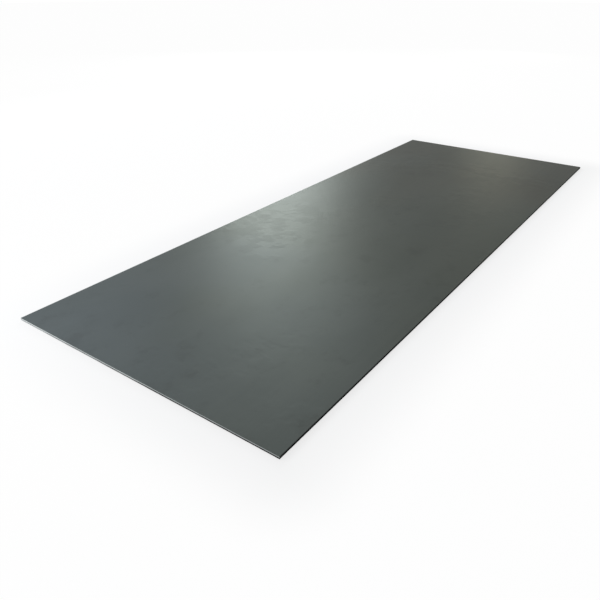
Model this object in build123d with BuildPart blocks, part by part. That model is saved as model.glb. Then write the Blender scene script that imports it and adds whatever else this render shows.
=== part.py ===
from build123d import *
from math import radians, tan
import os

# Hot-rolled steel plate, sheared to size on all four sides and lying flat.
# Millimetres, +Z up. The origin is the middle of the underside, +X runs along
# the length and +Y across the width.

# The plate as it is sold
length = 2438.4  # 8 ft, from end cut to end cut
width = 914.4  # 3 ft, from side cut to side cut
thickness = 7.9375  # 5/16 in

# A sheared edge, from the top face down. The blade first drags the face over in
# a soft roll, next cuts a smooth upright land, and then the steel tears through
# to the underside, leaning in a little.
roll_reach = 1.3  # how far in from the edge the top face starts to dip
roll_drop = 0.7  # how far it has dipped where the land begins
land_height = 2.9  # the smooth upright band under the roll
tear_lean = 6.0  # degrees between the torn band and the upright


def section_between_cuts(plane, span):
    """Return the plate's section on a plane, from one sheared edge to the other.

    The right half is drawn from the middle of the top face, down the sheared
    edge, to the middle of the underside, and mirrored.
    """
    half = span / 2
    land_top = thickness - roll_drop
    land_foot = land_top - land_height
    tear_inset = land_foot * tan(radians(tear_lean))
    with BuildSketch(plane) as section:
        with BuildLine():
            top_face = Line((0, thickness), (half - roll_reach, thickness))
            roll = TangentArc(top_face @ 1, (half, land_top), tangent=top_face % 1)
            land = Line(roll @ 1, (half, land_foot))
            torn_band = Line(land @ 1, (half - tear_inset, 0))
            Line(torn_band @ 1, (0, 0))
            mirror(about=Plane.YZ)
        make_face()
    return section.sketch


# The two side cuts give the section across the width, which runs the whole
# length. The two end cuts then trim it, so that the edges meet in mitres.
across = section_between_cuts(Plane.YZ.offset(-length / 2), width)
along = section_between_cuts(Plane.XZ.offset(-width / 2), length)

with BuildPart() as steel_plate:
    extrude(across, amount=length)
    extrude(along, amount=width, mode=Mode.INTERSECT)
steel_plate.part.label = "steel_plate"

os.makedirs("parts", exist_ok=True)
export_step(steel_plate.part, "parts/steel_plate.step")
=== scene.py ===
"""The looks of a hot-rolled steel plate that lies on a pale studio floor.

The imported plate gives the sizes. Its plain solid is replaced by a finer one
with the marks of the shear, dressed in mill scale, cut steel and torn steel,
and set on a floor under soft lamps, before the camera of the photograph.
"""

import logging
import math
from dataclasses import dataclass, replace
from enum import Enum
from typing import Any, Iterator, Mapping, Optional, Union

import bmesh
import bpy
from mathutils import Euler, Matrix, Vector, noise


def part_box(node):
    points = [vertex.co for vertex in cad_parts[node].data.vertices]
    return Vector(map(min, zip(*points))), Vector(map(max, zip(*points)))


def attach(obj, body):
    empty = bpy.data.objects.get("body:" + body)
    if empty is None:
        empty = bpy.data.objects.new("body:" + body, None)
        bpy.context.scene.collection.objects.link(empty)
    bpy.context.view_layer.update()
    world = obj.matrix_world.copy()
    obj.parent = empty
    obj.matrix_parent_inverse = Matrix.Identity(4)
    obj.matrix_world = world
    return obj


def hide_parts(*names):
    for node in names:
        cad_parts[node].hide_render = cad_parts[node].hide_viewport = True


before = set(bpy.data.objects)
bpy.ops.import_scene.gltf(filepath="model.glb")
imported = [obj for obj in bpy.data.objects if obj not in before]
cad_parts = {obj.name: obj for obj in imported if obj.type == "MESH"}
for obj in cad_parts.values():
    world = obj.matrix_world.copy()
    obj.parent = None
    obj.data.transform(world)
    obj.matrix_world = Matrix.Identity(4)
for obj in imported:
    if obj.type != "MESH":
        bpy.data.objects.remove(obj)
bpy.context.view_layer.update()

MM = 0.001
HALF = 0.5
AXES = 2  # the plate's sides run along X and along Y in turn
SPLIT = 2  # where cells are halved, one becomes this many
INWARD = ((0, 1), (-1, 0), (0, -1), (1, 0))  # from the near long side anticlockwise
NODE = "steel_plate"
BODY = "root"
MAP_NAME = "OFBake"

Colour = tuple[float, float, float]
Sides = tuple[float, float, float]
log = logging.getLogger("steel plate")


class Wire:
    """A value that changes over a surface. Python's operators on wires add Math nodes."""

    def __init__(self, tree: bpy.types.NodeTree, socket: bpy.types.NodeSocket) -> None:
        """Hold one output socket of a node tree."""
        self.tree = tree
        self.socket = socket

    def _math(self, operation: str, first: "Number", second: "Number") -> "Wire":
        """Add one Math node.

        Args:
            operation: the node's operation, such as ADD.
            first: its first value, a wire or a plain number.
            second: its second value, a wire or a plain number.

        Returns:
            The node's result.
        """
        node = self.tree.nodes.new("ShaderNodeMath")
        node.operation = operation
        for place, value in zip(node.inputs, (first, second)):
            set_socket(self.tree, place, value)
        return Wire(self.tree, node.outputs[0])

    def __add__(self, other: "Number") -> "Wire":
        """Return self + other."""
        return self._math("ADD", self, other)

    def __radd__(self, other: "Number") -> "Wire":
        """Return other + self."""
        return self._math("ADD", other, self)

    def __sub__(self, other: "Number") -> "Wire":
        """Return self - other."""
        return self._math("SUBTRACT", self, other)

    def __rsub__(self, other: "Number") -> "Wire":
        """Return other - self."""
        return self._math("SUBTRACT", other, self)

    def __mul__(self, other: "Number") -> "Wire":
        """Return self * other."""
        return self._math("MULTIPLY", self, other)

    def __rmul__(self, other: "Number") -> "Wire":
        """Return other * self."""
        return self._math("MULTIPLY", other, self)

    def __or__(self, other: "Number") -> "Wire":
        """Return the larger of self and other."""
        return self._math("MAXIMUM", self, other)


Number = Union[Wire, float]


def set_socket(tree: bpy.types.NodeTree, place: bpy.types.NodeSocket, value: Any) -> None:
    """Give an input socket a wire, or a plain value.

    Args:
        tree: the tree that the socket is in.
        place: the input socket.
        value: a wire, a number, or a tuple for a vector or a colour.
    """
    if isinstance(value, Wire):
        tree.links.new(value.socket, place)
    elif place.type == "RGBA":
        place.default_value = (*value, 1.0)
    else:
        place.default_value = value


@dataclass(frozen=True)
class Grain:
    """One size of soft noise.

    Attributes:
        patch: the size of its patches along X, Y and Z, in metres.
        seed: which of the endless patterns of that size it is.
        middle: the raw noise that gives a half. More gives fewer patches.
        spread: half the range of raw noise that fills 0 to 1. Less gives more contrast.
        detail: how many finer sizes are laid over it.
        mix: how strong each finer size is beside the one before.
    """

    patch: Sides
    seed: float
    middle: float = HALF
    spread: float = 0.22
    detail: float = 2.0
    mix: float = 0.5


class ShaderTree:
    """The nodes of one material or world, added one by one."""

    def __init__(self, owner: Union[bpy.types.Material, bpy.types.World]) -> None:
        """Start an empty tree on a material or a world."""
        owner.use_nodes = True
        self.tree = owner.node_tree
        self.tree.nodes.clear()
        self._place: Optional[Wire] = None

    def node(
        self,
        kind: str,
        settings: Optional[Mapping[str, Any]] = None,
        sockets: Optional[Mapping[Union[str, int], Any]] = None,
        output: Union[str, int] = 0,
    ) -> Wire:
        """Add any node.

        Args:
            kind: the node's type, without ShaderNode in front.
            settings: the node's own settings, which are set first.
            sockets: values or wires, by the input socket's name or number.
            output: which output socket to return.

        Returns:
            That output socket.
        """
        node = self.tree.nodes.new("ShaderNode" + kind)
        for name, value in (settings or {}).items():
            setattr(node, name, value)
        for name, value in (sockets or {}).items():
            set_socket(self.tree, node.inputs[name], value)
        return Wire(self.tree, node.outputs[output])

    def place(self) -> Wire:
        """Find the place on the object, from one node that all share.

        Returns:
            The place, in the object's own metres.
        """
        if self._place is None:
            self._place = self.node("TexCoord", output="Object")
        return self._place

    def along(self, axis: str) -> Wire:
        """Return the place's X, Y or Z, in metres."""
        return self.node("SeparateXYZ", sockets={0: self.place()}, output=axis)

    def step(self, value: Wire, low: float, high: float) -> Wire:
        """Return a smooth step.

        Args:
            value: what is stepped.
            low: the value where the step is still 0.
            high: the value where it has come to 1.

        Returns:
            The step, from 0 to 1.
        """
        ends = {"From Min": low, "From Max": high, "To Min": 0.0, "To Max": 1.0}
        return self.node("MapRange", {"interpolation_type": "SMOOTHSTEP"}, {"Value": value, **ends})

    def cloud(self, grain: Grain) -> Wire:
        """Return soft noise.

        Args:
            grain: the size and kind of its patches.

        Returns:
            The noise, from 0 to 1.
        """
        patches = self.node("VectorMath", {"operation": "DIVIDE"}, {0: self.place(), 1: grain.patch})
        raw = self.node(
            "TexNoise",
            {"noise_dimensions": "4D"},
            {
                "Vector": patches,
                "W": grain.seed,
                "Scale": 1.0,
                "Detail": grain.detail,
                "Roughness": grain.mix,
            },
        )
        return self.step(raw, grain.middle - grain.spread, grain.middle + grain.spread)

    def tint(self, factor: Number, first: Any, second: Any) -> Wire:
        """Mix two colours.

        Args:
            factor: 0 gives the first colour and 1 the second.
            first: a colour, or a wire that carries one.
            second: likewise.

        Returns:
            The mixed colour.
        """
        node = self.tree.nodes.new("ShaderNodeMix")
        node.data_type = "RGBA"
        set_socket(self.tree, node.inputs["Factor"], factor)
        colours = [place for place in node.inputs if place.type == "RGBA"]
        for place, value in zip(colours, (first, second)):
            set_socket(self.tree, place, value)
        return Wire(self.tree, next(result for result in node.outputs if result.type == "RGBA"))

    def relief(self, height: Wire) -> Wire:
        """Return the normal over a relief whose height is in metres."""
        return self.node("Bump", sockets={"Strength": 1.0, "Distance": 1.0, "Height": height})

    def blend(self, factor: Wire, first: Wire, second: Wire) -> Wire:
        """Return a mix of two shaders, where a factor of 0 gives the first and 1 the second."""
        return self.node("MixShader", sockets={0: factor, 1: first, 2: second})

    def seen(self) -> Wire:
        """Tell what is seen, straight or in a reflection, from what only gives light.

        Returns:
            1 for what is seen and 0 for what only gives light.
        """
        camera = self.node("LightPath", output="Is Camera Ray")
        glossy = self.node("LightPath", output="Is Glossy Ray")
        through = self.node("LightPath", output="Is Transmission Ray")
        return camera | glossy | through

    def finish(self, surface: Wire, kind: str = "OutputMaterial") -> None:
        """Send the finished shader to the output node.

        Args:
            surface: the finished shader.
            kind: the output node's type, without ShaderNode in front.
        """
        output = self.tree.nodes.new("ShaderNode" + kind)
        set_socket(self.tree, output.inputs["Surface"], surface)


@dataclass(frozen=True)
class MillScale:
    """The dark oxide skin that rolling leaves on both faces, green-grey with a soft gloss.

    Attributes:
        cool: the blue-grey towards the near end, partly the scale's own tint and partly a painted tint
            of bluish light.
        body: the green-grey in the middle.
        warm: the brown-grey towards the far end, partly the scale's own tint and partly a painted tint
            of warm light.
        rub: the paler colour of the clouds and the streaks.
        cloud_share: how far a cloud goes to that colour.
        streak_share: how far a streak does.
        dark: the colour of the stains.
        stain_share: how far a stain goes to that colour.
        warm_from: where along X the skin starts to turn from cool to warm.
        warm_to: where it has turned.
        drift_reach: how far the drift moves that turn along X.
        metallic: how much of the shine is a metal's.
        edge_gloss: how much of the shine is left at a flat angle.
        roughness: the shine's spread.
        roughness_play: how much rougher the roughest streaks are than the smoothest.
        drift: the large slow changes of colour.
        flake: the flat flakes of scale that the rolls press in.
        field: the stretches where they are strong.
        bloom: the large faint clouds that the cooling water leaves.
        streak: the long faint streaks along the rolling direction.
        stain: the few faint dark stains.
        tooth: the fine grain of the scale.
        flake_depth: how deep the flakes lie where they are strongest.
        flake_least: the share of their depth and of their mattness where they are weakest.
        flake_matt: how much rougher the strongest flakes are than the skin round them.
        tooth_depth: the fine grain's relief.
    """

    cool: Colour = (0.062, 0.071, 0.067)
    body: Colour = (0.062, 0.070, 0.062)
    warm: Colour = (0.066, 0.070, 0.060)
    rub: Colour = (0.110, 0.120, 0.111)
    cloud_share: float = 0.14
    streak_share: float = 0.05
    dark: Colour = (0.030, 0.031, 0.029)
    stain_share: float = 0.18
    warm_from: float = -1.3
    warm_to: float = 1.3
    drift_reach: float = 0.9
    metallic: float = 0.85
    edge_gloss: Colour = (0.52, 0.52, 0.52)
    roughness: float = 0.44
    roughness_play: float = 0.018
    drift: Grain = Grain((0.45, 0.35, 1.0), 3.1, detail=1.0)
    flake: Grain = Grain((0.054, 0.058, 0.5), 4.4, spread=0.09)
    field: Grain = Grain((0.50, 0.42, 1.0), 43.0, middle=0.56, spread=0.10, detail=1.0)
    bloom: Grain = Grain((0.34, 0.20, 1.0), 18.3, spread=0.18, detail=4.0)
    streak: Grain = Grain((0.60, 0.008, 0.5), 12.4)
    stain: Grain = Grain((0.09, 0.07, 0.5), 51.2, middle=0.62, spread=0.08, detail=4.0, mix=0.65)
    tooth: Grain = Grain((0.004, 0.003, 0.5), 21.9)
    flake_depth: float = 0.27 * MM
    flake_least: float = 0.06
    flake_matt: float = 0.022
    tooth_depth: float = 0.003 * MM

    def material(self) -> bpy.types.Material:
        """Make the material.

        Returns:
            The finished material.
        """
        material = bpy.data.materials.new("mill_scale")
        shader = ShaderTree(material)
        drift = shader.cloud(self.drift)
        flake = shader.cloud(self.flake)
        streak = shader.cloud(self.streak)
        # From cool at the near end to warm at the far end: partly the scale's own tint, partly a
        # painted tint of the lamps' coloured light.
        turned = shader.along("X") + (drift - HALF) * self.drift_reach
        middle = (self.warm_from + self.warm_to) * HALF
        cool_half = shader.tint(shader.step(turned, self.warm_from, middle), self.cool, self.body)
        clean = shader.tint(shader.step(turned, middle, self.warm_to), cool_half, self.warm)
        rubbed = shader.cloud(self.bloom) * self.cloud_share + streak * self.streak_share
        skin = shader.tint(rubbed, clean, self.rub)
        flaked = shader.cloud(self.field) * (1 - self.flake_least) + self.flake_least
        relief = flake * flaked * self.flake_depth + shader.cloud(self.tooth) * self.tooth_depth
        rougher = (streak - HALF) * self.roughness_play + (flake - HALF) * flaked * self.flake_matt
        surface = shader.node(
            "BsdfPrincipled",
            sockets={
                "Base Color": shader.tint(shader.cloud(self.stain) * self.stain_share, skin, self.dark),
                "Metallic": self.metallic,
                "Roughness": self.roughness + rougher,
                "Specular Tint": self.edge_gloss,
                "Normal": shader.relief(relief),
            },
        )
        shader.finish(surface)
        return material


@dataclass(frozen=True)
class BareSteel:
    """Steel that the shear has laid bare, bright towards +Y and dark towards -Y: partly a cut that goes
    from fresh to dull, partly painted light from the end lamp and painted shade towards -Y.

    Attributes:
        name: the material's name.
        fresh_and_lit: its colour where it is fresh, with painted light on it.
        dull_and_shaded: its colour where it has gone dull, with painted shade on it.
        metallic: how much of the shine is a metal's.
        gloss: the shine that isn't a metal's, where 0.5 is that of glass or oil.
        roughness: the shine's spread.
        roughness_play: how much rougher the roughest marks are than the smoothest.
        mark: the small marks of the blade or the tear.
        patch: the larger patches that move where it turns dull and shaded.
        mark_share: how far a mark goes to the dull, shaded colour.
        mark_depth: the marks' relief.
        fresh_and_lit_to: where along Y it is fresh and lit no more.
        dull_and_shaded_from: where along Y it is dull and shaded all over.
        patch_reach: how far a patch moves those places.
    """

    name: str
    fresh_and_lit: Colour
    dull_and_shaded: Colour
    metallic: float
    gloss: float
    roughness: float
    roughness_play: float
    mark: Grain
    patch: Grain
    mark_share: float
    mark_depth: float
    fresh_and_lit_to: float = 0.50
    dull_and_shaded_from: float = -0.30
    patch_reach: float = 0.30

    def material(self) -> bpy.types.Material:
        """Make the material.

        Returns:
            The finished material.
        """
        material = bpy.data.materials.new(self.name)
        shader = ShaderTree(material)
        mark = shader.cloud(self.mark)
        place = shader.along("Y") + (shader.cloud(self.patch) - HALF) * self.patch_reach
        # Fresh and lit towards +Y, dull and shaded towards -Y: partly real dulling of the cut, partly
        # painted light and painted shade.
        age_and_shade = shader.step(place, self.fresh_and_lit_to, self.dull_and_shaded_from)
        aged_and_shaded = shader.tint(age_and_shade, self.fresh_and_lit, self.dull_and_shaded)
        surface = shader.node(
            "BsdfPrincipled",
            sockets={
                "Base Color": shader.tint(mark * self.mark_share, aged_and_shaded, self.dull_and_shaded),
                "Metallic": self.metallic,
                "Specular IOR Level": self.gloss,
                "Roughness": self.roughness + (mark - HALF) * self.roughness_play,
                "Normal": shader.relief(mark * self.mark_depth),
            },
        )
        shader.finish(surface)
        return material


@dataclass(frozen=True)
class PaleFloor:
    """Matt white floor paint, which turns to plain white a little way from the plate.

    Attributes:
        covered: how far the plate covers the floor from its middle, along X and Y.
        paint: the paint's colour.
        white: the colour of the far floor.
        roughness: the paint's roughness.
        near_share: how far the floor by the plate is that white already.
        far_share: how far the rest of the floor is.
        fade: how far from the plate's edge the floor has come to that.
    """

    covered: Sides
    paint: Colour = (0.90, 0.90, 0.90)
    white: Colour = (1.0, 1.0, 1.0)
    roughness: float = 0.9
    near_share: float = 0.70
    far_share: float = 0.97
    fade: float = 0.22

    def material(self) -> bpy.types.Material:
        """Make the material.

        Returns:
            The finished material.
        """
        material = bpy.data.materials.new("pale_floor")
        shader = ShaderTree(material)
        matt = {"Base Color": self.paint, "Roughness": self.roughness, "Specular IOR Level": 0.0}
        painted = shader.node("BsdfPrincipled", sockets=matt)
        plain = shader.node("Emission", sockets={"Color": self.white})
        outward = shader.node("VectorMath", {"operation": "ABSOLUTE"}, {0: shader.place()})
        beyond = shader.node("VectorMath", {"operation": "SUBTRACT"}, {0: outward, 1: self.covered})
        clear = shader.node("VectorMath", {"operation": "MAXIMUM"}, {0: beyond, 1: (0.0, 0.0, 0.0)})
        distance = shader.node("VectorMath", {"operation": "LENGTH"}, {0: clear}, output="Value")
        faded = shader.step(distance, 0.0, self.fade)
        white_share = self.near_share + faded * (self.far_share - self.near_share)
        shader.finish(shader.blend(white_share * shader.seen(), painted, plain))
        return material


Finish = Union[MillScale, BareSteel]


class Band(Enum):
    """The bands of the plate's surface. A value is a place in the list of its finishes."""

    SCALE = 0
    END_CUT = 1
    END_TEAR = 2
    SIDE_CUT = 3
    SIDE_TEAR = 4


@dataclass(frozen=True)
class Row:
    """One line of points that runs all round the plate.

    Attributes:
        inset: how far in it lies from the plate's sides.
        height: how high it lies over the underside.
        bands: the band over this row, on a long side and at an end.
        crease: whether the surface has a crease here.
        wander_in: how far in the row wanders.
        wander_down: how far down and up it wanders.
    """

    inset: float
    height: float
    bands: tuple[Band, Band] = (Band.SCALE, Band.SCALE)
    crease: bool = False
    wander_in: float = 0.0
    wander_down: float = 0.0


@dataclass(frozen=True)
class ShearedEdge:
    """The section of a sheared edge, from the top face to the underside.

    Attributes:
        thickness: the plate's thickness.
        roll_reach: how far in from the edge the top face starts to dip.
        roll_drop: how far it has dipped where the cut band begins.
        cut_height: the height of the smooth upright band.
        tear_lean: the angle between the torn band and the upright.
        roll_rows: rows of faces that round the roll.
        tear_rows: rows of faces that roughen the torn band.
        ragged: how far the line between the two bands wanders up and down.
        tear_depth: how deep the torn band's hollows are.
    """

    thickness: float
    roll_reach: float = 1.3 * MM
    roll_drop: float = 0.7 * MM
    cut_height: float = 2.9 * MM
    tear_lean: float = math.radians(6.0)
    roll_rows: int = 5
    tear_rows: int = 5
    ragged: float = 0.4 * MM
    tear_depth: float = 0.14 * MM

    def rows(self) -> Iterator[Row]:
        """Work the rows out.

        Yields:
            The rows, from the rim of the top face down to the rim of the underside.
        """
        radius = (self.roll_reach**2 + self.roll_drop**2) * HALF / self.roll_drop
        sweep = math.asin(self.roll_reach / radius)
        for i in range(self.roll_rows):
            angle = sweep * i / self.roll_rows
            dip = radius * (1 - math.cos(angle))
            yield Row(self.roll_reach - radius * math.sin(angle), self.thickness - dip)
        cut_top = self.thickness - self.roll_drop
        cut_foot = cut_top - self.cut_height
        yield Row(0.0, cut_top, crease=True)
        cut = (Band.SIDE_CUT, Band.END_CUT)
        yield Row(0.0, cut_foot, cut, crease=True, wander_down=self.ragged)
        tear = (Band.SIDE_TEAR, Band.END_TEAR)
        for i in range(1, self.tear_rows + 1):
            depth = cut_foot * i / self.tear_rows
            inset = depth * math.tan(self.tear_lean)
            foot = i == self.tear_rows
            yield Row(inset, cut_foot - depth, tear, crease=foot, wander_in=self.tear_depth)


@dataclass(frozen=True)
class Patch:
    """A rectangle of the texture map, as shares of its side.

    Attributes:
        left: its left side.
        bottom: its lower side.
        width: its width.
        height: its height.
    """

    left: float
    bottom: float
    width: float
    height: float

    def at(self, across: float, up: float) -> tuple[float, float]:
        """Return the point at these shares of the rectangle's width and height."""
        return self.left + self.width * across, self.bottom + self.height * up


@dataclass(frozen=True)
class Plate:
    """The steel plate: one rolled piece, with a sheared edge all round.

    Attributes:
        low: its lowest corner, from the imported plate.
        high: its highest corner.
        edge: the section of its edge.
        cells: coarse cells along the length and the width, in the middle of each face.
        halvings: how often the cells are halved on the way out to the edge.
        ring_step: the width of each ring in which they are halved.
        wave: the length of the waves in the line between the cut and the tear.
        hollow: the size of the torn band's hollows.
        calm: how far from a corner the tear comes to its full roughness.
        face_maps: where the top face and the underside lie on the texture map.
        edge_maps: where the four edges lie on it, from the near long side anticlockwise.
    """

    low: Vector
    high: Vector
    edge: ShearedEdge
    cells: tuple[int, int] = (100, 38)
    halvings: int = 3
    ring_step: float = 12 * MM
    wave: float = 26 * MM
    hollow: float = 7 * MM
    calm: float = 15 * MM
    face_maps: tuple[Patch, Patch] = (
        Patch(0.002, 0.545, 0.996, 0.45),
        Patch(0.002, 0.08, 0.996, 0.45),
    )
    edge_maps: tuple[Patch, Patch, Patch, Patch] = (
        Patch(0.002, 0.002, 0.996, 0.018),
        Patch(0.002, 0.052, 0.480, 0.018),
        Patch(0.002, 0.027, 0.996, 0.018),
        Patch(0.518, 0.052, 0.480, 0.018),
    )

    def outline(
        self, inset: float, height: float, halvings: int
    ) -> Iterator[tuple[int, float, Vector]]:
        """Yield the points of a rectangle round the plate, anticlockwise from the lowest corner.

        Args:
            inset: how far in it lies from the plate's sides.
            height: how high it lies.
            halvings: how often the coarse cells are halved along it.

        Yields:
            Each point's side, its share of the way along that side, and its place.
        """
        x, y = self.high.x - inset, self.high.y - inset
        corners = [Vector((*spot, height)) for spot in ((-x, -y), (x, -y), (x, y), (-x, y))]
        for side, corner in enumerate(corners):
            after = corners[(side + 1) % len(corners)]
            count = self.cells[side % AXES] * SPLIT**halvings
            for i in range(count):
                yield side, i / count, corner.lerp(after, i / count)

    def wander(self, row: Row, side: int, share: float, place: Vector) -> Vector:
        """Move a point of an edge row as the blade and the tear leave it.

        Args:
            row: the row that the point is in.
            side: the side that it is on.
            share: how far it is along that side, from 0 to 1.
            place: where it would be in a perfect edge.

        Returns:
            Where it is.
        """
        span = (self.high - self.low)[side % AXES]
        roughness = min(1.0, min(share, 1 - share) * span / self.calm)
        down = noise.noise(place / self.wave) * row.wander_down
        depth = (1 + noise.noise(place / self.hollow)) * HALF * row.wander_in
        return place + roughness * Vector((*(Vector(INWARD[side]) * depth), down))

    def build(self) -> bpy.types.Object:
        """Make the plate's mesh.

        Returns:
            The plate, not yet dressed.
        """
        mesh = bmesh.new()
        spots = mesh.loops.layers.uv.new(MAP_NAME)
        rows = list(self.edge.rows())
        rings = []
        for row in rows:
            points = self.outline(row.inset, row.height, self.halvings)
            rings.append([mesh.verts.new(self.wander(row, *point)) for point in points])
        self.close_edge(mesh, spots, rows, rings)
        self.close_face(mesh, spots, rings[0], rows[0], self.face_maps[0])
        self.close_face(mesh, spots, rings[-1], rows[-1], self.face_maps[1])
        data = bpy.data.meshes.new(NODE)
        mesh.to_mesh(data)
        mesh.free()
        plate = bpy.data.objects.new(NODE + "_rolled", data)
        bpy.context.scene.collection.objects.link(plate)
        return plate

    def close_edge(
        self,
        mesh: bmesh.types.BMesh,
        spots: bmesh.types.BMLayerItem,
        rows: list[Row],
        rings: list[list[bmesh.types.BMVert]],
    ) -> None:
        """Fill the edge all round with faces, from row to row.

        Args:
            mesh: the plate's mesh.
            spots: its layer of places on the texture map.
            rows: the edge's rows.
            rings: each row's points.
        """
        paths = [0.0]
        for above, row in zip(rows, rows[1:]):
            paths.append(paths[-1] + math.hypot(row.inset - above.inset, row.height - above.height))
        ups = [1 - path / paths[-1] for path in paths]
        places = [(side, share) for side, share, _ in self.outline(0.0, 0.0, self.halvings)]
        for k, (side, share) in enumerate(places):
            after = (k + 1) % len(places)
            next_share = places[after][1] or 1.0
            patch = self.edge_maps[side]
            for j, row in enumerate(rows[1:], 1):
                above, below = rings[j - 1], rings[j]
                face = mesh.faces.new((below[k], below[after], above[after], above[k]))
                face.smooth = True
                face.material_index = row.bands[side % AXES].value
                foot, top = ups[j], ups[j - 1]
                ends = (share, foot), (next_share, foot), (next_share, top), (share, top)
                for loop, end in zip(face.loops, ends):
                    loop[spots].uv = patch.at(*end)
                mesh.edges.get((below[k], below[after])).smooth = not row.crease
                if share == 0.0:
                    mesh.edges.get((below[k], above[k])).smooth = False

    def close_face(
        self,
        mesh: bmesh.types.BMesh,
        spots: bmesh.types.BMLayerItem,
        rim: list[bmesh.types.BMVert],
        row: Row,
        patch: Patch,
    ) -> None:
        """Fill the top face or the underside, with rings that halve the points and then a grid.

        Args:
            mesh: the plate's mesh.
            spots: its layer of places on the texture map.
            rim: the points round the face.
            row: the row that they are in.
            patch: where the face lies on the texture map.
        """
        faces = []
        for halvings in reversed(range(self.halvings)):
            inset = row.inset + (self.halvings - halvings) * self.ring_step
            points = self.outline(inset, row.height, halvings)
            inner = [mesh.verts.new(place) for _, _, place in points]
            for k, point in enumerate(inner):
                outer = [rim[(SPLIT * k + i) % len(rim)] for i in range(SPLIT + 1)]
                faces.append([*outer, inner[(k + 1) % len(inner)], point])
            rim = inner
        faces += self.grid(mesh, rim)
        size = self.high - self.low
        for corners in faces:
            face = mesh.faces.new(corners if row.height else corners[::-1])
            for loop in face.loops:
                place = loop.vert.co - self.low
                loop[spots].uv = patch.at(place.x / size.x, place.y / size.y)

    def grid(
        self, mesh: bmesh.types.BMesh, rim: list[bmesh.types.BMVert]
    ) -> Iterator[list[bmesh.types.BMVert]]:
        """Fill a rectangle with a grid.

        Args:
            mesh: the plate's mesh.
            rim: the points round it, one for each cell, anticlockwise from the lowest corner.

        Yields:
            The corners of each cell, anticlockwise.
        """
        wide, deep = self.cells
        ways = ((i, 0) for i in range(wide)), ((wide, j) for j in range(deep))
        back = ((wide - i, deep) for i in range(wide)), ((0, deep - j) for j in range(deep))
        points = dict(zip((spot for way in ways + back for spot in way), rim))
        low, high = points[0, 0].co, points[wide, deep].co
        for i in range(1, wide):
            for j in range(1, deep):
                x, y = low.x + (high.x - low.x) * i / wide, low.y + (high.y - low.y) * j / deep
                points[i, j] = mesh.verts.new((x, y, low.z))
        for i in range(wide):
            for j in range(deep):
                yield [points[i, j], points[i + 1, j], points[i + 1, j + 1], points[i, j + 1]]

    def dress(self, plate: bpy.types.Object, finishes: Mapping[Band, Finish]) -> None:
        """Give the plate a finish for each of its bands.

        Args:
            plate: the plate.
            finishes: each band's finish.
        """
        for band in Band:
            plate.data.materials.append(finishes[band].material())


@dataclass(frozen=True)
class Lamp:
    """A soft square lamp, which the camera itself doesn't see.

    Attributes:
        name: the lamp's name.
        azimuth: where it stands round the plate, in degrees from +X towards +Y.
        elevation: how high it stands over the plate's middle, in degrees.
        distance: how far away it stands.
        side: how long each of its sides is.
        radiance: how bright its face is, where white is 1.
        colour: its colour.
    """

    name: str
    azimuth: float
    elevation: float
    distance: float
    side: float
    radiance: float
    colour: Colour

    def hang(self) -> None:
        """Hang the lamp so that it faces the middle of the plate."""
        turn, lift = math.radians(self.azimuth), math.radians(self.elevation)
        towards = Vector(
            (math.cos(turn) * math.cos(lift), math.sin(turn) * math.cos(lift), math.sin(lift))
        )
        data = bpy.data.lights.new(self.name, "AREA")
        data.shape = "SQUARE"
        data.size = self.side
        data.energy = self.radiance * math.pi * self.side * self.side
        data.color = self.colour
        lamp = bpy.data.objects.new(self.name, data)
        lamp.location = towards * self.distance
        lamp.rotation_euler = towards.to_track_quat("Z", "Y").to_euler()
        lamp.visible_camera = False
        bpy.context.scene.collection.objects.link(lamp)


@dataclass(frozen=True)
class Studio:
    """A pale floor that runs into a white backdrop, under soft lamps.

    Attributes:
        floor: the floor's finish.
        floor_reach: how far the floor reaches.
        floor_sides: how many sides its outline has.
        floor_gap: how far it lies under the plate.
        backdrop: the backdrop's colour.
        seen_level: how bright the backdrop looks, straight or in a reflection.
        light_level: how much light it gives.
        lamps: the lamps.
    """

    floor: PaleFloor
    floor_reach: float = 20.0
    floor_sides: int = 96
    floor_gap: float = 0.02 * MM
    backdrop: Colour = (1.0, 1.0, 1.0)
    seen_level: float = 1.0
    light_level: float = 0.55
    lamps: tuple[Lamp, ...] = (
        Lamp(
            name="main",
            azimuth=43.2,
            elevation=17.9,
            distance=5.5,
            side=1.34,
            radiance=18.3,
            colour=(0.955, 1.0, 0.995),
        ),
        Lamp(
            name="cool_side",
            azimuth=92.0,
            elevation=27.0,
            distance=3.2,
            side=2.4,
            radiance=1.60,
            colour=(0.72, 0.80, 1.0),
        ),
        Lamp(
            name="warm_far",
            azimuth=13.6,
            elevation=5.0,
            distance=6.0,
            side=0.65,
            radiance=7.4,
            colour=(1.0, 0.985, 0.75),
        ),
        Lamp(
            name="end",
            azimuth=155.0,
            elevation=14.0,
            distance=2.4,
            side=0.5,
            radiance=14.0,
            colour=(0.96, 0.98, 1.0),
        ),
    )

    def build(self) -> None:
        """Lay the floor, hang the lamps and light the backdrop."""
        mesh = bmesh.new()
        bmesh.ops.create_circle(
            mesh, cap_ends=True, radius=self.floor_reach, segments=self.floor_sides
        )
        data = bpy.data.meshes.new("floor")
        mesh.to_mesh(data)
        mesh.free()
        floor = bpy.data.objects.new("floor", data)
        floor.location.z = -self.floor_gap
        data.materials.append(self.floor.material())
        bpy.context.scene.collection.objects.link(floor)
        for lamp in self.lamps:
            lamp.hang()
        world = bpy.data.worlds.new("backdrop")
        bpy.context.scene.world = world
        shader = ShaderTree(world)
        light, plain = (
            shader.node("Background", sockets={"Color": self.backdrop, "Strength": level})
            for level in (self.light_level, self.seen_level)
        )
        shader.finish(shader.blend(shader.seen(), light, plain), "OutputWorld")


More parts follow.
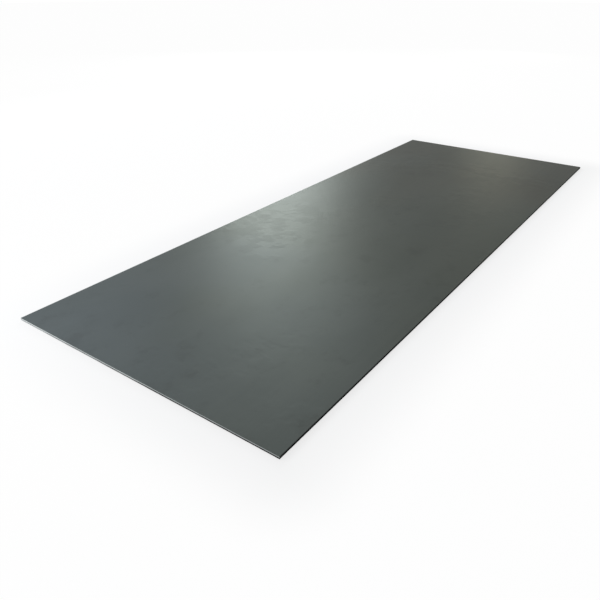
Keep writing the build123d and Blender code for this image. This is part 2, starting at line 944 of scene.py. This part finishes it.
@dataclass(frozen=True)
class Viewpoint:
    """The camera of the photograph, placed from the top of the plate's near corner.

    Attributes:
        lens: its focal length, in millimetres.
        sensor: the width of its frame, in millimetres.
        pitch: how far down it looks, in degrees.
        yaw: where it looks round the plate, in degrees from +X towards +Y.
        back: how far it stands behind the near corner, along the plate's length.
        aside: how far it stands to the near corner's side, along the plate's width.
        height: how high it stands over the near corner.
    """

    lens: float = 35.0
    sensor: float = 36.0
    pitch: float = 29.443
    yaw: float = 35.870
    back: float = 0.6739
    aside: float = 0.5377
    height: float = 0.8456

    def set_up(self, corner: Vector) -> None:
        """Set the camera up.

        Args:
            corner: the top of the plate's near corner.
        """
        data = bpy.data.cameras.new("camera")
        data.lens, data.sensor_width = self.lens, self.sensor
        camera = bpy.data.objects.new("camera", data)
        camera.location = corner + Vector((-self.back, -self.aside, self.height))
        right_angle = 90.0
        turns = (right_angle - self.pitch, 0.0, self.yaw - right_angle)
        camera.rotation_euler = Euler([math.radians(turn) for turn in turns])
        bpy.context.scene.collection.objects.link(camera)
        bpy.context.scene.camera = camera


# The end bands are bright towards +Y with painted light from the end lamp, and dark towards -Y with
# painted shade, on top of the cut's own dulling.
END_CUT = BareSteel(
    name="end_cut",
    fresh_and_lit=(0.665, 0.705, 0.71),
    dull_and_shaded=(0.29, 0.31, 0.31),
    metallic=0.9,
    gloss=0.5,
    roughness=0.45,
    roughness_play=0.12,
    mark=Grain((0.0012, 0.0012, 0.03), 5.3),
    patch=Grain((0.040, 0.040, 0.004), 9.2),
    mark_share=0.30,
    mark_depth=0.01 * MM,
    dull_and_shaded_from=-0.42,
)
# The torn band's dull colour is almost black: painted shade at the plate's foot.
END_TEAR = BareSteel(
    name="end_tear",
    fresh_and_lit=(0.41, 0.43, 0.435),
    dull_and_shaded=(0.006, 0.006, 0.006),
    metallic=0.5,
    gloss=0.1,
    roughness=0.60,
    roughness_play=0.15,
    mark=Grain((0.0035, 0.0035, 0.0018), 2.6, spread=0.18, detail=3.0, mix=0.6),
    patch=Grain((0.060, 0.060, 0.004), 14.2),
    mark_share=0.25,
    mark_depth=0.15 * MM,
    dull_and_shaded_from=-0.20,
)
# The long sides are shaded copies of the end bands: their near-black, unreflecting colour is painted
# shade, the shade that the long sides lie in.
PAINTED_SHADE_SIDE: Mapping[str, float] = {"metallic": 0.0, "gloss": 0.0, "roughness": 0.7}
SIDE_CUT = replace(
    END_CUT,
    name="side_cut_painted_shade",
    fresh_and_lit=(0.026, 0.026, 0.026),
    dull_and_shaded=(0.020, 0.020, 0.020),
    **PAINTED_SHADE_SIDE,
)
SIDE_TEAR = replace(
    END_TEAR,
    name="side_tear_painted_shade",
    fresh_and_lit=(0.006, 0.006, 0.006),
    dull_and_shaded=(0.004, 0.004, 0.004),
    **PAINTED_SHADE_SIDE,
)
FINISHES: Mapping[Band, Finish] = {
    Band.SCALE: MillScale(),
    Band.END_CUT: END_CUT,
    Band.END_TEAR: END_TEAR,
    Band.SIDE_CUT: SIDE_CUT,
    Band.SIDE_TEAR: SIDE_TEAR,
}


def main() -> None:
    """Build the plate and the studio, and set up the camera."""
    logging.basicConfig(level=logging.INFO)
    bpy.context.scene.view_settings.view_transform = "Standard"
    low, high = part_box(NODE)
    maker = Plate(low, high, ShearedEdge(high.z - low.z))
    plate = maker.build()
    maker.dress(plate, FINISHES)
    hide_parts(NODE)
    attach(plate, BODY)
    counts = len(plate.data.polygons), len(plate.data.materials)
    log.info("%s: %d faces, %d finishes", plate.name, *counts)
    studio = Studio(PaleFloor(covered=(high.x, high.y, 0.0)))
    studio.build()
    log.info("studio: a floor and %d lamps", len(studio.lamps))
    viewpoint = Viewpoint()
    viewpoint.set_up(Vector((low.x, low.y, high.z)))
    log.info("camera: %g mm lens", viewpoint.lens)


if __name__ == "__main__":
    main()
